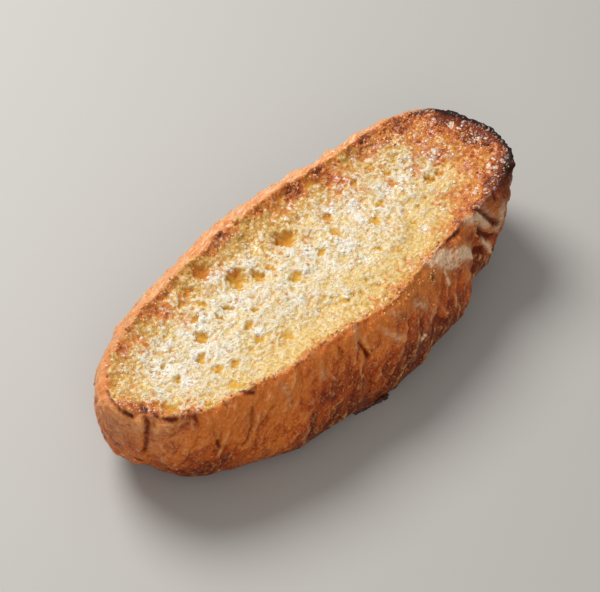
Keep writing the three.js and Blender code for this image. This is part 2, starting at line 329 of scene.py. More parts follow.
# Where sugar was sifted at all: place, half length, half width in mm and share.
DUSTED = (
    (-66, -3, 24, 17, 1.0), (-46, 3, 22, 15, 0.8), (-20, -3, 22, 17, 0.9), (8, -3, 24, 17, 0.8),
    (36, 0, 24, 17, 0.8), (60, 0, 16, 13, 0.5), (-22, 18, 12, 6, 0.6), (68, 10, 14, 10, 0.2),
)
# Creases and torn slits in the crust: half width, depth in mm, darkness, and the points they run through.
# A negative depth stands out as a ridge.
# The darkness is painted shade at the bottom of the creases and slits; in the rows that run along the top of
# the rim it is the real dark brown of burnt flakes.
CREASES = (
    (1.1, 1.2, 0.95, ((-93, -4, 41), (-96, -8, 41), (-97, -10, 37), (-97, -9, 30), (-98, -8, 21))),
    (3.0, 0.5, 0.25, ((-97, -4, 38), (-98, -5, 28))),
    (0.8, 0.8, 0.7, ((-86, -24, 30), (-87, -23, 28), (-89, -22, 25), (-90, -21, 20), (-91, -20, 17))),
    (0.7, 0.6, 0.6, ((-81, -26, 32), (-80, -26, 27), (-80, -27, 23))),
    (0.7, 0.6, 0.6, ((-78, -27, 30), (-79, -27, 26), (-80, -27, 22), (-81, -26, 20))),
    (0.9, 0.9, 0.7, ((-66, -31, 35), (-67, -32, 31), (-68, -32, 27), (-70, -32, 23), (-72, -31, 19))),
    (0.6, 0.5, 0.5, ((-69, -32, 29), (-71, -31, 24))),
    (0.7, 0.6, 0.5, ((-67, -33, 20), (-67, -33, 15))),
    (0.9, 2.2, 1.0, ((-19, -40, 36), (-18, -42, 33), (-17, -43, 29))),
    (0.5, -0.8, -0.8, ((-18, -41, 36), (-17, -42, 33), (-16, -43, 30))),
    (0.6, -0.5, -0.9, ((-36, -39, 35), (-35, -40, 33), (-34, -41, 30))),
    (1.8, 1.2, 0.9, ((19, -46, 23), (24, -46, 17))),
    (1.2, 1.0, 0.8, ((10, -47, 29), (10, -48, 26), (9, -48, 23))),
    (0.6, -0.6, -0.9, ((21, -44, 30), (23, -44, 26), (25, -45, 21))),
    (0.5, -0.6, -1.0, ((32, -45, 20), (31, -45, 17), (31, -45, 13))),
    (0.5, -0.5, -0.8, ((16, -47, 16), (14, -48, 15), (12, -48, 13))),
    (1.1, -0.6, -0.9, ((-9, -41, 38), (-8, -43, 36), (-6, -44, 33), (-4, -46, 32), (-1, -47, 29))),
    (1.5, -0.3, -0.6, ((-18, -36, 42), (-19, -38, 40), (-20, -39, 37), (-21, -40, 34))),
    (1.4, 2.4, 1.2, ((57, -34, 23), (59, -35, 22), (61, -35, 21))),
    (1.6, 2.6, 1.1, ((59, -34, 32), (61, -35, 28), (64, -36, 25), (67, -36, 24))),
    (1.3, 2.2, 1.0, ((60, -32, 42), (63, -34, 37), (67, -35, 31), (69, -36, 29))),
    (0.7, -1.2, -0.8, ((54, -34, 37), (59, -34, 29), (62, -35, 24), (64, -36, 18))),
    (5.0, -1.8, 0.35, ((73, -34, 38), (72, -35, 32), (70, -35, 28))),
    (5.0, -1.8, 0.0, ((61, -35, 19), (64, -34, 11))),
    (3.0, 0.8, 0.35, ((43, -35, 41), (48, -36, 38), (57, -34, 28))),
    (1.6, -2.2, 0.6, ((87, -28, 42), (90, -27, 42))),
    (3.0, 0.4, 0.6, ((81, -30, 43), (76, -33, 39), (73, -32, 42))),
    (0.7, 0.6, 0.6, ((3, -48, 23), (2, -48, 20))),
    (0.9, 0.7, 0.7, ((-17, -45, 20), (-18, -45, 18), (-16, -45, 15))),
    (0.8, 1.0, 1.0, ((72, -31, 42), (70, -32, 42), (69, -33, 40))),
    (7.0, -1.8, 0.0, ((28, -46, 18), (44, -43, 16), (56, -39, 15))),
    (5.0, -2.0, 0.0, ((36, -44, 12), (45, -41, 13), (52, -38, 14))),
    (4.2, -3.0, 0.0, ((50, -37, 26), (52, -37, 20), (54, -37, 13))),
    (4.2, -1.6, 0.0, ((43, -43, 25), (46, -41, 21), (49, -39, 16))),
    (6.0, 1.0, 0.0, ((-96, -10, 13), (-88, -20, 10))),
    (0.9, 0.4, 0.8, ((-97, 9, 41), (-99, 6, 42), (-100, 2, 41), (-100, -1, 40))),
    (0.9, 0.4, 1.1, ((-99, -2, 40), (-99, -4, 39))),
    (0.8, 0.5, 1.2, ((-94, -6, 41), (-94, -9, 41), (-94, -12, 41))),
    (0.9, 0.5, 1.2, ((-94, -14, 41), (-92, -16, 40), (-90, -17, 40))),
    (0.8, 0.4, 1.1, ((-87, -17, 41), (-85, -18, 41), (-84, -20, 41))),
    (0.8, 0.4, 0.9, ((-85, -21, 40), (-85, -22, 38))),
    (0.9, 0.5, 1.0, ((-67, -26, 41), (-66, -28, 41), (-64, -29, 40))),
    (0.8, 0.4, 0.9, ((-34, -33, 42), (-32, -33, 41), (-29, -33, 41))),
    (1.2, 0.4, 0.9, ((38, -35, 42), (43, -34, 41), (46, -34, 41))),
    (0.9, 0.4, 0.9, ((32, -33, 41), (35, -33, 41))),
    (1.1, 0.5, 0.9, ((22, -40, 39), (22, -41, 37))),
    (0.8, 0.4, 0.9, ((-99, -1, 15), (-98, -2, 14), (-97, -5, 13))),
)
# Places where the browned skin was scraped off and the pale bread shows: half width, share, points.
SCRAPES = (
    (3.8, 1.0, ((25, -36, 42), (31, -37, 40), (37, -39, 37), (44, -39, 34), (52, -37, 27))),
    (2.8, 0.8, ((29, -38, 39), (33, -40, 36), (39, -41, 34))),
    (1.0, 0.8, ((30, -40, 36), (29, -43, 31))),
    (4.2, 1.0, ((53, -32, 42), (57, -33, 41), (61, -33, 38), (64, -35, 33))),
    (2.0, 0.9, ((62, -35, 25), (64, -36, 20))),
    (2.6, 0.9, ((72, -35, 37), (70, -36, 31), (68, -36, 26))),
    (1.8, 0.6, ((-8, -43, 35), (-2, -47, 29))),
    (2.0, 0.45, ((-18, -36, 41), (-20, -40, 36))),
    (2.4, 0.6, ((10, -43, 36), (14, -44, 32))),
    (1.2, 0.9, ((8, -48, 22), (10, -48, 22))),
    (2.4, 0.5, ((-2, -41, 39), (0, -43, 37))),
    (1.6, 0.5, ((-54, -34, 38), (-53, -36, 34))),
    (1.8, 0.5, ((-38, -38, 36), (-38, -40, 33))),
    (1.0, 0.5, ((-54, -37, 32), (-54, -38, 30))),
    (1.6, 0.6, ((18, -45, 27), (16, -46, 25))),
    (3.0, 0.35, ((-102, 1, 29), (-101, -1, 26))),
)
LIP_STEPS = 26  # sections along a burnt lip
# Burnt egg that ran out under the foot: how far each lip reaches back, and its outer edge.
LIPS = (
    (4.0, ((-22, -41.5), (-18, -42.7), (-14, -43.7), (-11, -44.7), (-8, -45.2), (-6, -44.6))),
    (3.0, ((-4, -43.2), (-2.5, -44.2), (-1, -44.2), (0.2, -43.4))),
)
# A browned, crumbly stretch where the cut side rolls over into the crust.
FUZZY = ((4, -39, 41), (13, -40, 40), (24, -39, 40))
FUZZY_WIDTH = 6.0
# The charred end: degrees from the far end to its middle, towards the front, and its half width.
CHAR_TURN = 8
CHAR_SPREAD = 46


def cad_skin():
    """A merged copy of the CAD toast, and for each vertex its row, counted up the wall from the base."""
    skin = bmesh.new()
    skin.from_mesh(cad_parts["toast"].data)
    bmesh.ops.remove_doubles(skin, verts=skin.verts, dist=WELD)
    skin.verts.index_update()
    rows = [0] * len(skin.verts)
    reached = {v for v in skin.verts if v.co.z < WELD}
    front = list(reached)
    row = 0
    while front:
        row += 1
        following = []
        for vertex in front:
            for edge in vertex.link_edges:
                other = edge.other_vert(vertex)
                if other not in reached:
                    reached.add(other)
                    rows[other.index] = row
                    following.append(other)
        front = following
    return skin, rows


def rim_edges(skin, rows):
    return [e for e in skin.edges if all(rows[v.index] == WALL_ROWS for v in e.verts)]


def smooth_object(skin, rows, crease):
    """The merged skin as quads with one level of subdivision, and the rim kept fairly sharp."""
    rim = {e.index for e in rim_edges(skin, rows)}
    layer = skin.edges.layers.float.get("crease_edge") or skin.edges.layers.float.new("crease_edge")
    for edge in skin.edges:
        low = all(rows[v.index] == 0 for v in edge.verts)
        edge[layer] = 1.0 if low else (crease if edge.index in rim else 0.0)
    loose = [e for e in skin.edges if e.index not in rim]
    faces = list({f for e in loose for f in e.link_faces})
    bmesh.ops.join_triangles(
        skin, faces=faces, angle_face_threshold=QUAD_ANGLE, angle_shape_threshold=QUAD_ANGLE
    )
    mesh = bpy.data.meshes.new("bread_base")
    skin.to_mesh(mesh)
    holder = linked("bread_base", mesh)
    holder.modifiers.new("Smooth", "SUBSURF").levels = 1
    return holder


def rim_points(skin, rows):
    """Points set close together along the rim, in metres."""
    points = []
    for edge in rim_edges(skin, rows):
        first, last = (v.co.copy() for v in edge.verts)
        points += [first.lerp(last, step / RIM_STEPS) for step in range(RIM_STEPS)]
    return np.array(points)


def rim_degrees(x, y):
    """Angle of places in mm round the rim's ellipse, from the far end over the back."""
    return np.degrees(np.arctan2((y - RIM_CENTRE[1]) / HALF_WIDTH, (x - RIM_CENTRE[0]) / HALF_LENGTH))


def evened_rim(points):
    """The rim at even angles, with its dents smoothed away."""
    marks = np.arange(0, 360, 0.5)
    degrees = rim_degrees(points[:, 0] / MM, points[:, 1] / MM)
    loop = np.stack([np.interp(marks, degrees, points[:, axis], period=360) for axis in range(3)], axis=1)
    weight = np.exp(-((np.minimum(marks, 360 - marks) / RIM_BLUR) ** 2))
    change = np.fft.fft(weight / weight.sum())
    return np.real(np.fft.ifft(np.fft.fft(loop, axis=0) * change[:, None], axis=0))


def point_finder(points):
    """A search tree over points."""
    tree = KDTree(len(points))
    for number, point in enumerate(points):
        tree.insert(point, number)
    tree.balance()
    return tree


def round_table(table, degrees):
    """A table of values set evenly round the rim, read at any angle."""
    marks = np.arange(len(table) + 1) * 360 / len(table)
    return np.interp(np.mod(degrees, 360), marks, (*table, table[0]))


def smooth_step(values, low, high):
    share = np.clip((values - low) / (high - low), 0, 1)
    return share * share * (3 - 2 * share)


def dusting(places):
    """How much sugar fell at each place, from 0 to about 1."""
    total = np.zeros(len(places))
    for x, y, half_length, half_width, share in DUSTED:
        across = ((places[:, 0] - x) / half_length) ** 2 + ((places[:, 1] - y) / half_width) ** 2
        total = 1 - (1 - total) * (1 - share * np.exp(-across))
    return total


def soft_spots(places, spot_list):
    total = np.zeros(len(places))
    for x, y, radius, share in spot_list:
        across = np.hypot(places[:, 0] - x, places[:, 1] - y) / radius
        total = np.maximum(total, share * np.exp(-(across**2)))
    return total


def wobbled(places):
    """The places shifted by crossing waves, so that round marks come out uneven."""
    x, y = places[:, 0], places[:, 1]
    across = x + 0.55 * np.sin(1.3 * y + 0.7 * x) + 0.4 * np.sin(2.7 * y - 1.1 * x + 2)
    along = y + 0.5 * np.sin(1.1 * x - 0.6 * y + 1) + 0.4 * np.sin(2.9 * x + 1.4 * y + 4)
    return across, along


def pore_marks(places):
    """Depth, openness and orange tint of the open pores at each place."""
    depth, open_share, tint = (np.zeros(len(places)) for _ in range(3))
    across, along = wobbled(places)
    for x, y, radius, deep, orange in PORES:
        inside = 1 - smooth_step(np.hypot(across - x, along - y) / radius, 0.2, 1.2)
        depth = np.maximum(depth, deep * inside)
        open_share = np.maximum(open_share, inside)
        tint = np.maximum(tint, orange * inside)
    return depth, open_share, tint


def line_distance(places, points):
    """Distance in mm of each place from a line through the points."""
    nearest = np.full(len(places), 1e9)
    points = np.array(points, float)
    for first, last in zip(points[:-1], points[1:]):
        run = last - first
        along = np.clip((places - first) @ run / (run @ run), 0, 1)
        nearest = np.minimum(nearest, np.linalg.norm(places - first - along[:, None] * run, axis=1))
    return nearest


def closeness(places, points, half_width):
    """1 on the line through the points, fading to about a third at its half width in mm."""
    return np.exp(-((line_distance(places, points) / half_width) ** 2))


def crease_marks(places):
    """Depth and darkness of the creases and slits at each place."""
    depth, dark = np.zeros(len(places)), np.zeros(len(places))
    for half_width, deep, darkness, points in CREASES:
        near = closeness(places, points, half_width)
        depth += deep * near
        dark += darkness * near
    return depth, np.clip(dark, -1, 1.5)


def scrape_marks(places):
    pale = np.zeros(len(places))
    for half_width, share, points in SCRAPES:
        pale = np.maximum(pale, share * closeness(places, points, half_width))
    return pale


def mark_sides(mesh, skin, rows):
    """Stores for each vertex whether it is on the cut side, and which spot of the rim is nearest."""
    flags = [all(rows[v.index] >= WALL_ROWS for v in f.verts) for f in skin.faces]
    near = BVHTree.FromBMesh(skin)
    points = rim_points(skin, rows)
    rim = point_finder(points)
    even_rim = point_finder(evened_rim(points))
    places = vertex_places(mesh)
    cut = np.zeros(len(places))
    strand = np.zeros((len(places), 3))
    for number, place in enumerate(places):
        spot = Vector(place)
        cut[number] = flags[near.find_nearest(spot)[2]]
        nearest = even_rim.find(spot)[0]
        distance = rim.find(spot)[2]
        strand[number] = (nearest.x / MM, nearest.y / MM, distance / MM)
    store(mesh, "cut", cut)
    store(mesh, "strand", strand)


def read(mesh, name, size=1):
    values = np.zeros(len(mesh.vertices) * size, np.float32)
    mesh.attributes[name].data.foreach_get("value" if size == 1 else "vector", values)
    return values.reshape(-1, size) if size > 1 else values


def mark_features(mesh):
    """Stores what browned, sugared, creased or opened each place of the bread."""
    places = vertex_places(mesh) / MM
    x, y = places[:, 0], places[:, 1]
    cut = read(mesh, "cut")
    strand = read(mesh, "strand", 3)
    edge = strand[:, 2]
    degrees = rim_degrees(strand[:, 0], strand[:, 1])
    fall = strand.copy()
    fall[:, 0] += LEAN * edge
    char = np.exp(-(((((degrees + CHAR_TURN + 180) % 360) - 180) / CHAR_SPREAD) ** 4))
    depth, open_share, tint = pore_marks(places)
    crease, dark = crease_marks(places)
    fuzz = closeness(places, FUZZY, FUZZY_WIDTH)
    toasting = np.exp(-((edge / round_table(RING_WIDTH, degrees)) ** 1.3))
    toasting *= 1 - 0.18 * smooth_step(y, 0, 15) * smooth_step(-x, 10, 50)
    toasting = np.maximum(toasting, 0.9 * fuzz)
    golden = np.exp(-((edge / round_table(GOLD_WIDTH, degrees)) ** 2))
    dust = dusting(places)
    white = soft_spots(places, WHITE_SPOTS)
    closed = cut * (1 - open_share) * (1 - 0.8 * toasting)
    spark = np.clip(smooth_step(x, 20, 62) * golden, 0, 1) + 0.12 * toasting
    crumbs = smooth_step(toasting, 0.25, 0.8) * (edge > 0.4) * (1 - char * (edge < 6))
    marks = {
        "fall": fall,
        "fuzz": fuzz,
        "edge": edge,
        "toasting": toasting,
        "golden": golden,
        "char": char,
        "dust": dust * cut,
        "white": white * cut,
        "pore": depth * cut,
        "open": open_share * cut,
        "tint": tint * cut,
        "crease": crease,
        "dark": dark,
        "scrape": scrape_marks(places),
        # Painted light: the crust is painted paler as if lit, on the back side that faces the key light and,
        # less, on the near end.
        "lit_side": np.clip(smooth_step(y, 5, 30) + 0.45 * smooth_step(-x, 84, 100), 0, 1),
        "clump_share": closed * (0.12 * dust**2 + 0.9 * white),
        "grain_share": closed * np.clip(0.75 * dust + 0.5 * white, 0.0, 1),
        "spark_share": spark * cut * (1 - 0.7 * dust) * smooth_step(edge, 1, 5),
        "crumb_share": fuzz + cut * crumbs,
    }
    for name, values in marks.items():
        store(mesh, name, values)


def finer_cut(mesh):
    """Splits the faces of the cut side and of the creases once more, and makes the flat base one face."""
    work = bmesh.new()
    work.from_mesh(mesh)
    cut = work.verts.layers.float["cut"]
    strand = work.verts.layers.float_vector["strand"]
    places = vertex_places(mesh) / MM
    marked = (np.abs(crease_marks(places)[1]) > DARK_MARK) | (scrape_marks(places) > PALE_MARK)
    edges = [
        edge
        for edge in work.edges
        if all(v[cut] > 0.5 or v[strand].z < RIM_STRIP or marked[v.index] for v in edge.verts)
    ]
    bmesh.ops.subdivide_edges(work, edges=edges, cuts=1, use_grid_fill=True)
    base = [f for f in work.faces if all(v.co.z < BASE_SKIN * MM for v in f.verts)]
    bmesh.ops.dissolve_faces(work, faces=base)
    work.to_mesh(mesh)
    work.free()


# -------- bread: relief


# Inputs of the relief's tree, each set by the property of the bread that has its name.
RELIEF_HEIGHTS = (
    "Froth Height", "Cell Depth", "Crag Height", "Wrinkle Height", "Blister Height", "Lip Height", "Rim Wave",
)


def relief_tree(values):
    """Froth and cells on the cut face, crags on the browned ring and wrinkles down the crust."""
    tree, entry = new_geometry_tree("Bread Relief", values)
    start = Term(tree)
    here = start.make("GeometryNodeInputPosition")
    place = here.scaled(TO_MM)
    normal = start.make("GeometryNodeInputNormal")
    names = ("cut", "edge", "toasting", "open", "scrape", "char", "crease", "pore")
    cut, edge, toasting, open_share, scrape, char, crease, pore = (start.field(name) for name in names)
    fall = start.field("fall", "FLOAT_VECTOR")

    # The cut side, in mm: lumps, thin crests between cells, small pits and the open pores.
    lump = place.noise(0.3) - 0.5
    domed = place.moved(place.noise(0.5, 1.0, 0.5, out=1).scaled(1.5))
    dome = 0.45 - domed.cells(0.6, 0.25)
    grain = place.noise(0.6, 2.0, 0.6) - 0.5
    celled = place.moved(place.noise(0.3, 1.0, 0.5, out=1).scaled(2.4))
    cells = celled.cells(0.3, 0.5)
    patch = place.noise(0.1, 2.0, 0.5).ramp(0.4, 0.62)
    pit = (1.0 - cells.ramp(0.08, 0.5)) * edge.ramp(0.5, 3.0) * (0.15 + 0.85 * patch)
    quiet = 1.0 - open_share * 0.75
    froth = (lump * 1.9 + dome * 0.4 + grain * 0.3) * quiet
    cut_rise = cut * (froth * entry["Froth Height"] - pit * quiet * entry["Cell Depth"] - pore * 0.95)
    crag = place.noise(0.34, 3.0, 0.65, 0.5) - 0.45
    crag_rise = cut * toasting.ramp(0.1, 0.7) * crag * entry["Crag Height"] * (2.0 - char * 1.2)

    # The crust, in mm: folds and fibres that run down the wall, blisters, and frayed scraped places.
    down = fall.split()[2]
    fold_place = fall.scaled((1.0, 1.0, 0.4))
    fold = fold_place.noise(0.1, 3.0, 0.55, 1.6) - 0.5
    shoulder = down.ramp(0.3, 3.0) * (1.0 - down.ramp(4.0, 11.0))
    valley = (1.0 - (fold_place.noise(0.13, 2.0, 0.6, 0.9) * 2.0 - 1.0).absolute()) ** 6.0
    fibre = fall.scaled((1.0, 1.0, 0.3)).noise(0.45, 2.0, 0.6, 0.8) - 0.5
    blister = place.noise(0.24, 3.0, 0.5, 0.8) - 0.5
    rough = place.noise(0.75, 2.0, 0.65) - 0.5
    wall = (1.0 - cut) * place.split()[2].ramp(0.2, 7.0)
    wall_rise = wall * (
        down.ramp(0.0, 5.0) * (fold * 4.0 - valley * 0.35) * entry["Wrinkle Height"]
        + shoulder * (0.6 + fold * 1.7)
        + blister * entry["Blister Height"] * 2.2
        + fibre * (0.9 + scrape * 1.8) * entry["Wrinkle Height"]
        + rough * 0.35
        - crease
    )
    rim_noise = place.scaled((1.0, 1.0, 0.0)).noise(0.07, 2.0, 0.5) - 0.5
    wave = rim_noise * (1.0 - edge / 9.0).clamp() * entry["Rim Wave"]
    lip_noise = place.noise(0.24, 4.0, 0.7, 0.4) - 0.42
    lip = (1.0 - edge / 1.6).clamp() * lip_noise.clamp() * entry["Lip Height"] * (5.0 - char * 3.5)
    rise = cut_rise + crag_rise + wall_rise - cut * crease + lip

    upward = start.make("ShaderNodeCombineXYZ", None, {"Z": wave * MM})
    offset = normal.scaled(rise * MM).moved(upward)
    kept = start.make("GeometryNodeSetPosition", None, {"Geometry": entry["Geometry"], "Offset": offset})
    # hollow: how far the surface lies below its smoothed self, in mm; the materials use it for painted shade
    # in the hollows, painted light on the crests and less sugar in the pits.
    blur = {"Value": here, "Iterations": entry["Blur Steps"]}
    blurred = start.make("GeometryNodeBlurAttribute", {"data_type": "FLOAT_VECTOR"}, blur)
    inward = blurred.vector_maths("SUBTRACT", blurred, here)
    hollow = inward.vector_maths("DOT_PRODUCT", inward, normal, out=1) * TO_MM
    for name, value in (("hollow", hollow), ("pit", pit)):
        inputs = {"Geometry": kept, "Name": name, "Value": value}
        kept = kept.make("GeometryNodeStoreNamedAttribute", None, inputs)
    close_geometry_tree(kept, entry["Material"])
    return tree


# -------- bread: material


def flat_colour(start, value):
    """A colour node to build a mix from."""
    node = start.make("ShaderNodeRGB")
    node.socket.default_value = value
    return node


def cut_colour(start, place, look, marks):
    """Crumb, then golden, orange brown, brown and black with the toasting, paler on the crests and darker in
    the hollows as painted light and shade.
    """
    golden, char, hollow = marks.golden, marks.char, marks.hollow
    mottle = place.noise(0.2) - 0.5
    blotch = place.noise(0.09) - 0.5
    fine = place.noise(0.8, 3.0, 0.65) - 0.5
    far = (place.split()[0] / FAR_REACH).clamp()
    # Painted light and shade: the crumb is painted paler on the crests and more golden and browner in the
    # hollows.
    pale = fine * 4.5 + 0.35 + marks.dust * 0.35 - hollow * 1.6
    gilt = golden * 0.85 + mottle * 0.9 + hollow * 1.4 - fine * 1.6 - marks.dust * 0.2
    heat = (
        marks.toasting * 0.92 + golden * far * 0.14 + char * golden * 0.42 + mottle * 1.5
        + blotch * golden * 4.4 + fine * (1.2 + char * 1.6) + hollow * (0.7 - marks.open * 0.6)
        + char * (1.0 - marks.edge / 8.0).clamp() * 1.25
    )
    burn = char * (1.0 - marks.edge / 3.3).clamp() + (mottle + fine * 0.5) * char * 0.6
    crumb = flat_colour(start, look.crumb).layered(
        (look.crumb_pale, pale.clamp() * 0.9),
        (look.golden, gilt.ramp(0.2, 0.9) * 0.85),
        (look.pore, (marks.open * (0.9 + fine * 1.2) + marks.pit * 0.45).clamp()),
        (look.orange_brown, (marks.tint * 1.5 - 0.3).clamp()),
        (look.orange_brown, heat.ramp(0.12, 0.6)),
        (look.brown, heat.ramp(0.66, 1.2)),
        (look.dark_brown, heat.ramp(1.2, 1.8) * 0.85),
        (look.black, burn.ramp(0.2, 0.6)),
    )
    return crumb, fine, far


def crust_colour(start, place, look, marks):
    """Crust: paler above, darker towards the foot, streaked down the wall, pale where scraped, painted paler
    on the lit side, with painted glints and painted shade in the hollows.
    """
    fall, hollow, scrape, char, lit = marks.fall, marks.hollow, marks.scrape, marks.char, marks.lit_side
    down = fall.split()[2]
    x, _, height = place.split()
    streak = fall.scaled((1.0, 1.0, 0.5)).noise(0.14, 3.0, 0.6, 1.2) - 0.5
    thin_streak = fall.scaled((1.0, 1.0, 0.35)).noise(0.7, 3.0, 0.7, 0.8) - 0.5
    flow = fall.scaled((0.3, 0.3, 1.3)).noise(0.8, 3.0, 0.6, 0.6) - 0.5
    along = fall.scaled((0.25, 0.25, 1.0)).noise(0.8, 3.0, 0.6, 1.0) - 0.5
    cloud = place.noise(0.05) - 0.5
    speck = place.noise(0.8, 3.0, 0.7) - 0.5
    glint = place.noise(1.3, 1.0, 0.5)
    near = (-0.7 - x / 45.0).clamp()
    depth = (1.66 - height / 21.0) * (1.0 - near * 0.6) + cloud * 2.9 + streak * 2.2 + speck * 0.9
    upper = height.ramp(16.0, 40.0)
    # Painted highlight: pale glints on the streaks and specks, none in the hollows; the same mask also adds
    # coat and lowers roughness.
    light = (streak * 1.3 + thin_streak * 1.5 - hollow * 1.8 - 0.25).clamp() + glint.ramp(0.57, 0.7) * 0.75
    # Painted highlight: pale streaks on the lit upper back band.
    painted_band_highlight = (-flow * 8.0 - speck * 2.0 - 0.1).clamp() * (0.8 - near * 0.6)
    torn = (scrape * 1.4 + along * 3.0 + speck).ramp(0.0, 0.9)
    frayed = scrape * 1.3 + along * 4.5 + thin_streak * 2.2 + speck * 1.6 - 0.12
    rim_dark = (1.0 - down / 2.5).clamp() * (0.35 + streak * 2.0 + speck * 1.4)
    burn = (char * (1.0 - down / 12.0).clamp() + speck * 0.4 * char).ramp(0.25, 0.8)
    crust = flat_colour(start, look.crust_light).layered(
        (look.crust, depth.ramp(-0.1, 0.45)),
        (look.crust_dark, depth.ramp(0.35, 1.1) * 0.95),
        # Painted light: the lit back shoulder painted paler, with orange streaks and pale painted highlight
        # streaks on it.
        (look.crust_pale, lit * (upper * 1.1 + cloud * 0.8 - depth * 0.3).clamp()),
        (look.crust_light, lit * (flow * 8.0 + speck * 1.5).clamp() * 0.7),
        (look.scraped, lit * upper * painted_band_highlight),
        # Painted highlight: the glints laid on in a pale colour.
        (look.painted_crust_glint, light * 0.75),
        # Painted shade: darker in the hollows of the folds, with darker mottling by noise.
        (look.crust_dark, hollow.ramp(0.1, 0.6) * 0.45 + (speck + streak * 1.6).ramp(0.1, 0.5) * 0.45),
        (look.orange_brown, marks.fuzz * (0.5 + speck * 2.0).clamp()),
        (look.crease, scrape.ramp(0.0, 0.3) * (0.4 + streak * 2.0 + speck).clamp() * 0.5),
        (look.crust_pale, torn * scrape.ramp(0.0, 0.3) * 0.5),
        (look.scraped, frayed.ramp(0.1, 0.9) * scrape.ramp(0.35, 0.85) * 0.95),
        (look.crust_pale, (-marks.dark).clamp() * 0.4),
        # The dark line under the rim is painted fainter on the lit side, as painted light.
        (look.dark_brown, rim_dark.clamp() * (1.0 - lit * 0.8)),
        (look.dark_brown, char * (1.0 - down / 24.0 + speck).clamp() * 0.7),
        (look.black, burn),
    )
    return crust, burn, thin_streak + flow * lit * 1.5, speck, light


def bread_material(look):
    """Crumb, golden edge, browned ring, charred rim, crust and fine sugar dust, in one surface."""
    material, start, place = new_material("Toasted Bread")
    names = "cut edge toasting golden char dust white open tint hollow pit scrape dark lit_side fuzz".split()
    marks = SimpleNamespace(**{name: start.attribute(name) for name in names})
    marks.fall = start.attribute("fall", "Vector")
    cut, char, golden = marks.cut, marks.char, marks.golden
    crumb, fine, far = cut_colour(start, place, look, marks)
    crust, burn, thin_streak, crust_speck, light = crust_colour(start, place, look, marks)
    # Painted shade at the bottom of the creases and slits, with the real dark brown of burnt flakes along the
    # rim.
    crease_shade_and_burn = marks.dark + crust_speck * 0.8
    shade_and_burn_share = crease_shade_and_burn.ramp(0.15, 1.05)

    # Fine sugar dust: dense on the raised crumb, thin in the pits and on what is browned.
    patch = place.noise(0.13) - 0.5
    heap = place.noise(0.3, 2.0, 0.6) - 0.5
    speckle = place.noise(0.75, 3.0, 0.7) - 0.5
    speck = place.noise(1.6, 2.0, 0.7) - 0.5
    cover = (
        marks.dust * 0.75 + marks.white * 0.7 + patch * 0.9 + heap * 1.4 + speckle * 1.3 + speck * 1.8
        - marks.hollow * 1.1 - marks.open - marks.toasting * 0.5 - 0.42
    )
    sugar = cover.ramp(-0.3, 0.85) * cut * marks.dust.ramp(0.0, 0.25)
    # Sugar melted into the golden part, in flakes and specks, but not on the browned ring or the char.
    flake = place.moved(place.noise(0.5, 2.0, 0.6, out=1).scaled(3.0)).cells(0.36)
    flake = (1.0 - (flake + patch * 1.2).ramp(0.16, 0.3)) * golden.ramp(0.3, 0.9)
    stray = (speckle + speck * 0.8 + far * golden * 0.07 - char * 0.12).ramp(0.1, 0.3).largest(flake)
    stray = stray * cut * (1.0 - marks.open).clamp() * (1.0 - marks.toasting * (1.0 - char))
    stray = stray * (1.0 - char * (1.0 - marks.edge / 5.0).clamp())
    base = crust.over(crumb, cut).layered(
        (look.crease, shade_and_burn_share * 0.93),
        (look.dark_brown, crease_shade_and_burn.ramp(0.85, 1.35) * 0.7),
        (look.sugar, sugar),
        (look.stray, stray * (0.68 + golden * 0.32 - char * 0.15)),
    )

    rough_cut = 0.6 + fine * 0.4 - marks.toasting * 0.2 - marks.open * 0.15
    rough_crust = 0.36 + thin_streak * 0.4 + crust_speck * 0.4 - light * 0.15
    rough = rough_crust * (1.0 - cut) + rough_cut * cut + sugar * 0.25 + burn * 0.6
    relief = (
        cut * (fine + place.noise(2.2, 2.0, 0.6) * 0.6 + sugar * 0.2)
        + (1.0 - cut) * (thin_streak * 0.7 + crust_speck * 0.7 + place.noise(2.0, 3.0, 0.65) * 0.3)
    )
    crust_coat = (1.0 - cut) * (0.04 + light) * (1.0 - shade_and_burn_share.largest(burn))
    cut_coat = cut * (0.3 - sugar * 0.3 - marks.open * 0.3)
    inputs = {
        "Base Color": base,
        "Roughness": rough.clamp(),
        "Subsurface Weight": 0.3,
        "Subsurface Radius": (1.0, 0.5, 0.25),
        "Subsurface Scale": 1.4 * MM,
        "Specular IOR Level": 0.24,
        "Coat Weight": (crust_coat + cut_coat).clamp(),
        "Coat Roughness": 0.16,
    }
    return finish_material(material, start, inputs, relief)


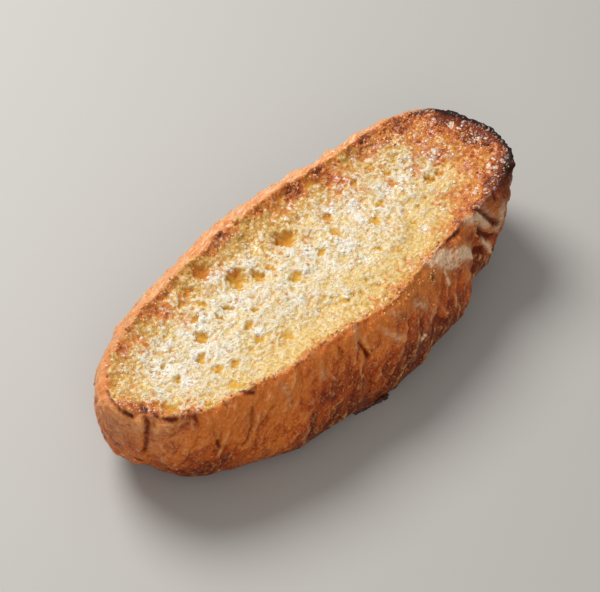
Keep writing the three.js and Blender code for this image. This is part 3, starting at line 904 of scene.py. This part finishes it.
class ToastBread(bpy.types.PropertyGroup):
    """Sizes and colours of the bread."""

    cell: number_prop(
        "Remesh Cell", "Edge of a face on the crust; the cut side gets half of it", 1.0 * MM,
        unit="LENGTH", precision=5,
    )
    rim_crease: number_prop(
        "Rim Crease", "How sharp the rim stays when the CAD shape is smoothed", 0.6,
        subtype="FACTOR", min=0, max=1,
    )
    froth_height: number_prop("Froth Height", "Height of the froth on the cut face, in mm", 1.15)
    cell_depth: number_prop("Cell Depth", "Depth of the crumb's cells, in mm", 0.7)
    crag_height: number_prop("Crag Height", "Height of the browned crags, in mm", 1.0)
    wrinkle_height: number_prop("Wrinkle Height", "Height of the crust's wrinkles, in mm", 1.0)
    blister_height: number_prop("Blister Height", "Height of the crust's blisters, in mm", 1.0)
    lip_height: number_prop("Lip Height", "Height of the rim's torn crust lip, in mm", 1.0)
    rim_wave: number_prop("Rim Wave", "Rise and fall of the rim, in mm", 6.0)
    crumb: colour_prop("Crumb", "Crumb without sugar", 226, 184, 104)
    # Also painted light on the crests of the crumb.
    crumb_pale: colour_prop("Pale Crumb", "Lightest crumb", 246, 220, 152)
    pore: colour_prop("Pore", "Inside of the open pores", 226, 172, 56)
    golden: colour_prop("Golden", "Crumb fried golden", 206, 147, 54)
    orange_brown: colour_prop("Orange Brown", "Inner part of the browned ring", 218, 134, 52)
    brown: colour_prop("Brown", "Browned ring", 188, 92, 34)
    dark_brown: colour_prop("Dark Brown", "Darkest toast short of burnt", 104, 42, 14)
    black: colour_prop("Charred", "Burnt rim", 44, 17, 8)
    # Also painted light: the colour of the lit back shoulder.
    crust_pale: colour_prop("Pale Crust", "Crust on the upper shoulder and on ridges", 236, 168, 112)
    crust_light: colour_prop("Light Crust", "Crust just below the front rim", 226, 122, 42)
    # Painted highlight: the colour of the glints on the crust.
    painted_crust_glint: colour_prop("Painted Crust Glint", "Painted highlight on the crust's streaks and glints", 242, 164, 80)
    crust: colour_prop("Crust", "Crust on the wall", 188, 78, 8)
    # Also painted shade in the hollows of the folds.
    crust_dark: colour_prop("Dark Crust", "Crust near the foot and in creases", 112, 34, 3)
    # Also painted shade: the colour of the bottom of creases and slits.
    crease: colour_prop("Crease", "Bottom of a crease", 108, 34, 6)
    # Also a painted highlight: the pale streaks on the lit back band.
    scraped: colour_prop("Scraped", "Bread under scraped crust", 255, 216, 176)
    stray: colour_prop("Stray Sugar", "Sugar melted into the browned places", 252, 236, 214)
    sugar: colour_prop("Sugar Dust", "Powdered sugar seen from above", 254, 244, 226)


class TOAST_OT_bread(bpy.types.Operator):
    """Build the bread's skin over the CAD toast"""

    bl_idname = "toast.bread"
    bl_label = "Bread"

    def execute(self, context):
        look = context.scene.toast_bread
        skin, rows = cad_skin()
        sides = skin.copy()
        mesh = plain_mesh(smooth_object(skin, rows, look.rim_crease), "bread_smooth")
        skin.free()
        holder = linked("bread_smooth", mesh)
        remesh = holder.modifiers.new("Remesh", "REMESH")
        remesh.mode = "VOXEL"
        remesh.voxel_size = look.cell
        mesh = plain_mesh(holder, "bread_even")
        if not mesh.vertices:
            raise RuntimeError("the remesh left nothing")
        sides.verts.ensure_lookup_table()
        sides.faces.ensure_lookup_table()
        mark_sides(mesh, sides, rows)
        sides.free()
        finer_cut(mesh)
        mark_features(mesh)
        values = {label: getattr(look, label.lower().replace(" ", "_")) for label in RELIEF_HEIGHTS}
        values.update({"Blur Steps": BLUR_STEPS, "Material": bread_material(look)})
        bread = run_tree(mesh, relief_tree(values), values, "bread")
        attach(bread, "root")
        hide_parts("toast")
        return {"FINISHED"}


# -------- loose pieces


def rough_ball(rounds, squash, jitter, seed):
    """A small lumpy ball one unit across, to strew."""
    ball = bmesh.new()
    bmesh.ops.create_icosphere(ball, subdivisions=rounds, radius=0.5)
    chance = np.random.default_rng(seed)
    for vertex in ball.verts:
        vertex.co *= 1 + float(chance.uniform(-jitter, jitter))
        vertex.co = Vector(a * b for a, b in zip(vertex.co, squash))
    mesh = bpy.data.meshes.new("ball")
    ball.to_mesh(mesh)
    ball.free()
    return bpy.data.objects.new("ball", mesh)


FULL_TURN = (6.28, 6.28, 6.28)  # radians
SIZE_SEED = 3
TURN_SEED = 5
# What the six numbers of a strewn piece say. Sizes are in mm, and the lift is a share of the size.
STREWN_NUMBERS = ("Patchiness", "Patch Scale", "Smallest", "Largest", "Lift", "Seed")


def strewing_tree(name, share, values):
    """Strews one shape over the bread, as thick as a stored share and a patchy noise allow."""
    tree, entry = new_geometry_tree(name, values)
    start = Term(tree)
    place = start.make("GeometryNodeInputPosition").scaled(TO_MM)
    patch = place.scaled(entry["Patch Scale"]).noise(1.0, 2.0, 0.6).ramp(0.42, 0.62)
    chosen = start.field(share) * (1.0 - entry["Patchiness"] + entry["Patchiness"] * 2.0 * patch)
    points = start.make(
        "GeometryNodeDistributePointsOnFaces",
        None,
        {"Mesh": entry["Geometry"], "Density": chosen * entry["Density"], "Seed": entry["Seed"]},
    )
    draw = start.make("FunctionNodeRandomValue", None, {"Seed": SIZE_SEED}, 1)
    turns = {0: (0.0, 0.0, 0.0), 1: FULL_TURN, "Seed": TURN_SEED}
    turn = start.make("FunctionNodeRandomValue", {"data_type": "FLOAT_VECTOR"}, turns)
    size = (entry["Smallest"] + (entry["Largest"] - entry["Smallest"]) * draw * draw * draw) * MM
    raised = start.make(
        "GeometryNodeSetPosition",
        None,
        {"Geometry": points, "Offset": points.sibling("Normal").scaled(size * entry["Lift"])},
    )
    shape = start.make("GeometryNodeObjectInfo", None, {"Object": entry["Shape"]}).sibling("Geometry")
    strewn = start.make(
        "GeometryNodeInstanceOnPoints",
        None,
        {"Points": raised, "Instance": shape, "Rotation": turn, "Scale": size},
    )
    close_geometry_tree(strewn, entry["Material"])
    return tree


def strew(name, share, ball, density, numbers, material):
    """Makes one piece of many small balls on the bread, and gives it its body and slot."""
    values = dict(zip(STREWN_NUMBERS, numbers))
    values.update({"Density": density, "Shape": rough_ball(*ball), "Material": material})
    tree = strewing_tree(name.replace("_", " ").title(), share, values)
    piece = run_tree(bpy.data.objects["bread"].data, tree, values, name)
    bpy.data.objects.remove(values["Shape"])
    if not piece.data.vertices:
        raise RuntimeError(name + " came out empty")
    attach(piece, "root")


def burnt_lip(work, outer, reach, seed):
    """A thin brittle tongue of burnt egg on the floor, from an outer edge back under the foot."""
    chance = np.random.default_rng(seed)
    places = np.array(outer, float)
    steps = np.linspace(0, len(outer) - 1, LIP_STEPS)
    sections = []
    for number, step in enumerate(steps):
        x, y = (np.interp(step, range(len(outer)), places[:, axis]) for axis in (0, 1))
        taper = math.sin(math.pi * (number + 0.5) / LIP_STEPS) ** 0.6
        x += float(chance.uniform(-0.2, 0.2))
        y += float(chance.uniform(-0.5, 0.5)) * taper
        high = float(chance.uniform(0.5, 1.3)) * taper + 0.2
        upper = ((x, y, high * 0.8), (x, y + 1.5, high), (x, y + reach, high))
        corners = ((x, y + reach, 0.1), (x, y + 0.4, 0.1), *upper)
        sections.append([work.verts.new(Vector(corner) * MM) for corner in corners])
    for first, last in zip(sections[:-1], sections[1:]):
        for side in range(len(first)):
            after = (side + 1) % len(first)
            work.faces.new((first[side], first[after], last[after], last[side]))
    work.faces.new(sections[0])
    work.faces.new(sections[-1])


def sugar_material(look):
    """White powder with a little shade between the grains."""
    material, start, place = new_material("Powdered Sugar")
    tone = place.noise(0.9)
    inputs = {
        "Base Color": flat_colour(start, look.white).over(look.shade, tone.ramp(0.4, 0.75) * 0.6),
        "Roughness": 0.45 + tone * 0.4,
        "Subsurface Weight": 0.5,
        "Subsurface Radius": (1.0, 0.9, 0.8),
        "Subsurface Scale": 0.9 * MM,
    }
    return finish_material(material, start, inputs, place.noise(6.0, 2.0, 0.6), 0.2, 0.6)


def burnt_material(look):
    """Egg burnt dark brown to black, with a greasy shine."""
    material, start, place = new_material("Burnt Egg")
    tone = place.noise(0.6)
    base = flat_colour(start, look.black).over(look.dark_brown, tone.ramp(0.4, 0.65))
    inputs = {"Base Color": base, "Roughness": 0.4 + tone * 0.4}
    return finish_material(material, start, inputs, tone, 0.3, 0.8)


def crumb_material(look):
    """Loose toast crumbs, from orange to dark brown."""
    material, start, place = new_material("Toast Crumbs")
    tone = place.noise(0.5, 2.0, 0.6)
    fine = place.noise(2.5, 2.0, 0.6)
    base = flat_colour(start, look.light).layered(
        (look.middle, tone.ramp(0.4, 0.62)),
        (look.dark, (tone + fine - 0.5).ramp(0.55, 0.8)),
    )
    inputs = {"Base Color": base, "Roughness": 0.3 + fine * 0.5}
    return finish_material(material, start, inputs, fine, 0.2, 0.8)


class ToastSugar(bpy.types.PropertyGroup):
    """Amounts and colours of the powdered sugar."""

    clumps: number_prop("Clumps", "Clumps to a square metre where sugar is thickest", 380000)
    grains: number_prop("Grains", "Grains to a square metre where sugar is thickest", 700000)
    sparks: number_prop("Crystals", "Crystals to a square metre on the browned ring", 60000)
    white: colour_prop("White", "Powdered sugar", 252, 248, 242)
    shade: colour_prop("Shade", "Powdered sugar soaked with a little butter", 246, 228, 198)


class ToastCrumbs(bpy.types.PropertyGroup):
    """Amount and colours of the loose crumbs."""

    crumbs: number_prop("Crumbs", "Crumbs to a square metre on the browned ring", 700000)
    light: colour_prop("Light", "Lightest crumbs", 244, 182, 112)
    middle: colour_prop("Middle", "Browned crumbs", 196, 108, 48)
    dark: colour_prop("Dark", "Darkest crumbs", 112, 50, 22)


class TOAST_OT_sugar(bpy.types.Operator):
    """Strew the powdered sugar: clumps, grains and the crystals that glint on the browned end"""

    bl_idname = "toast.sugar"
    bl_label = "Powdered Sugar"

    def execute(self, context):
        look = context.scene.toast_sugar
        white = sugar_material(look)
        # Each kind has its share, its ball (rounds, squash, jitter, seed), its density and its numbers.
        for kind, share, ball, density, numbers in (
            ("clumps", "clump", (2, (1, 0.85, 0.6), 0.22, 3), look.clumps, (0.8, 0.2, 0.5, 2.0, 0.02, 4)),
            ("grains", "grain", (1, (1, 0.9, 0.7), 0.12, 5), look.grains, (0.6, 0.3, 0.28, 0.9, 0.1, 6)),
            ("crystals", "spark", (1, (1, 0.8, 0.5), 0.35, 7), look.sparks, (0.8, 0.12, 0.5, 1.5, -0.1, 8)),
        ):
            strew("sugar_" + kind, share + "_share", ball, density, numbers, white)
        return {"FINISHED"}


class TOAST_OT_crumbs(bpy.types.Operator):
    """Strew the loose toast crumbs along the browned ring and the rim"""

    bl_idname = "toast.crumbs"
    bl_label = "Toast Crumbs"

    def execute(self, context):
        look = context.scene.toast_crumbs
        ball, numbers = (1, (1, 0.75, 0.5), 0.3, 9), (0.6, 0.2, 0.4, 1.6, 0.1, 10)
        brown = crumb_material(look)
        strew("toast_crumbs", "crumb_share", ball, look.crumbs, numbers, brown)
        return {"FINISHED"}


class TOAST_OT_burnt_egg(bpy.types.Operator):
    """Lay the burnt lips of egg under the foot of the bread"""

    bl_idname = "toast.burnt_egg"
    bl_label = "Burnt Egg"

    def execute(self, context):
        work = bmesh.new()
        for number, (reach, outer) in enumerate(LIPS):
            burnt_lip(work, outer, reach, number)
        bmesh.ops.recalc_face_normals(work, faces=work.faces)
        mesh = bpy.data.meshes.new("burnt_egg")
        work.to_mesh(mesh)
        work.free()
        mesh.shade_smooth()
        mesh.materials.append(burnt_material(context.scene.toast_bread))
        lips = linked("burnt_egg", mesh)
        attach(lips, "root")
        return {"FINISHED"}


# -------- stage

# Places in metres. The lights are discs, each given by its place and how wide it is.
FLOOR_HALF = 3.0
LIGHTS_AIM = (0, 0, 0.03)
KEY_LIGHT = ((0.06, 0.62, 0.78), 0.55)
FILL_LIGHT = ((-0.55, -0.62, 0.55), 0.45)
SKY_COLOUR = (1.0, 0.985, 0.96, 1)
CAMERA_PLACE = (-0.3804, -0.3257, 0.537)
CAMERA_AIM = (0.5243, 0.4558, -0.7193)  # the direction it looks in


class ToastStage(bpy.types.PropertyGroup):
    """Floor, light and camera."""

    floor: colour_prop("Floor", "Plain floor", 174, 171, 166)
    key_power: number_prop("Key Power", "Power of the key light", 10.5, unit="POWER")
    fill_power: number_prop("Fill Power", "Power of the fill light", 2.1, unit="POWER")
    sky: number_prop("Sky", "Strength of the light from all round", 0.36)
    lens: number_prop("Lens", "Focal length in mm on a 36 mm sensor", 114)


def turned_to(direction):
    """The rotation of a light or camera that looks in a direction."""
    return direction.to_track_quat("-Z", "Y").to_euler()


def add_area_light(name, place, size, power):
    lamp = bpy.data.lights.new(name, "AREA")
    lamp.shape = "DISK"
    lamp.size = size
    lamp.energy = power
    holder = linked(name, lamp)
    holder.location = place
    holder.rotation_euler = turned_to(Vector(LIGHTS_AIM) - Vector(place))
    return holder


class TOAST_OT_stage(bpy.types.Operator):
    """Set the floor, the lights and the camera"""

    bl_idname = "toast.stage"
    bl_label = "Stage"

    def execute(self, context):
        scene = context.scene
        look = scene.toast_stage
        mesh = bpy.data.meshes.new("floor")
        corners = [(x * FLOOR_HALF, y * FLOOR_HALF, 0) for x, y in ((-1, -1), (1, -1), (1, 1), (-1, 1))]
        mesh.from_pydata(corners, [], [(0, 1, 2, 3)])
        floor = linked("floor", mesh)
        material, start, _ = new_material("Floor")
        mesh.materials.append(finish_material(material, start, {"Base Color": look.floor, "Roughness": 0.6}))
        key = add_area_light("key", *KEY_LIGHT, look.key_power)
        fill = add_area_light("fill", *FILL_LIGHT, look.fill_power)
        world = bpy.data.worlds.new("Studio")
        world.use_nodes = True
        sky = world.node_tree.nodes["Background"]
        sky.inputs["Color"].default_value = SKY_COLOUR
        sky.inputs["Strength"].default_value = look.sky
        scene.world = world
        camera = linked("camera", bpy.data.cameras.new("camera"))
        camera.data.lens = look.lens
        camera.location = CAMERA_PLACE
        camera.rotation_euler = turned_to(Vector(CAMERA_AIM))
        scene.camera = camera
        scene.view_settings.view_transform = "Standard"
        return {"FINISHED"}


# -------- add-on


class TOAST_PT_panel(bpy.types.Panel):
    """Buttons for each part of the toast"""

    bl_idname = "TOAST_PT_panel"
    bl_label = "French Toast"
    bl_space_type = "VIEW_3D"
    bl_region_type = "UI"
    bl_category = "Toast"

    def draw(self, context):
        for operator in OPERATORS:
            self.layout.operator(operator.bl_idname)


OPERATORS = (TOAST_OT_bread, TOAST_OT_burnt_egg, TOAST_OT_sugar, TOAST_OT_crumbs, TOAST_OT_stage)
GROUPS = {
    "toast_bread": ToastBread,
    "toast_sugar": ToastSugar,
    "toast_crumbs": ToastCrumbs,
    "toast_stage": ToastStage,
}


def register():
    for group in GROUPS.values():
        bpy.utils.register_class(group)
    for name, group in GROUPS.items():
        setattr(bpy.types.Scene, name, PointerProperty(type=group))
    for item in (*OPERATORS, TOAST_PT_panel):
        bpy.utils.register_class(item)


def unregister():
    for item in (TOAST_PT_panel, *reversed(OPERATORS)):
        bpy.utils.unregister_class(item)
    for name, group in GROUPS.items():
        delattr(bpy.types.Scene, name)
        bpy.utils.unregister_class(group)


def main():
    register()
    bpy.ops.toast.bread()
    bpy.ops.toast.burnt_egg()
    bpy.ops.toast.sugar()
    bpy.ops.toast.crumbs()
    bpy.ops.toast.stage()


if __name__ == "__main__":
    main()
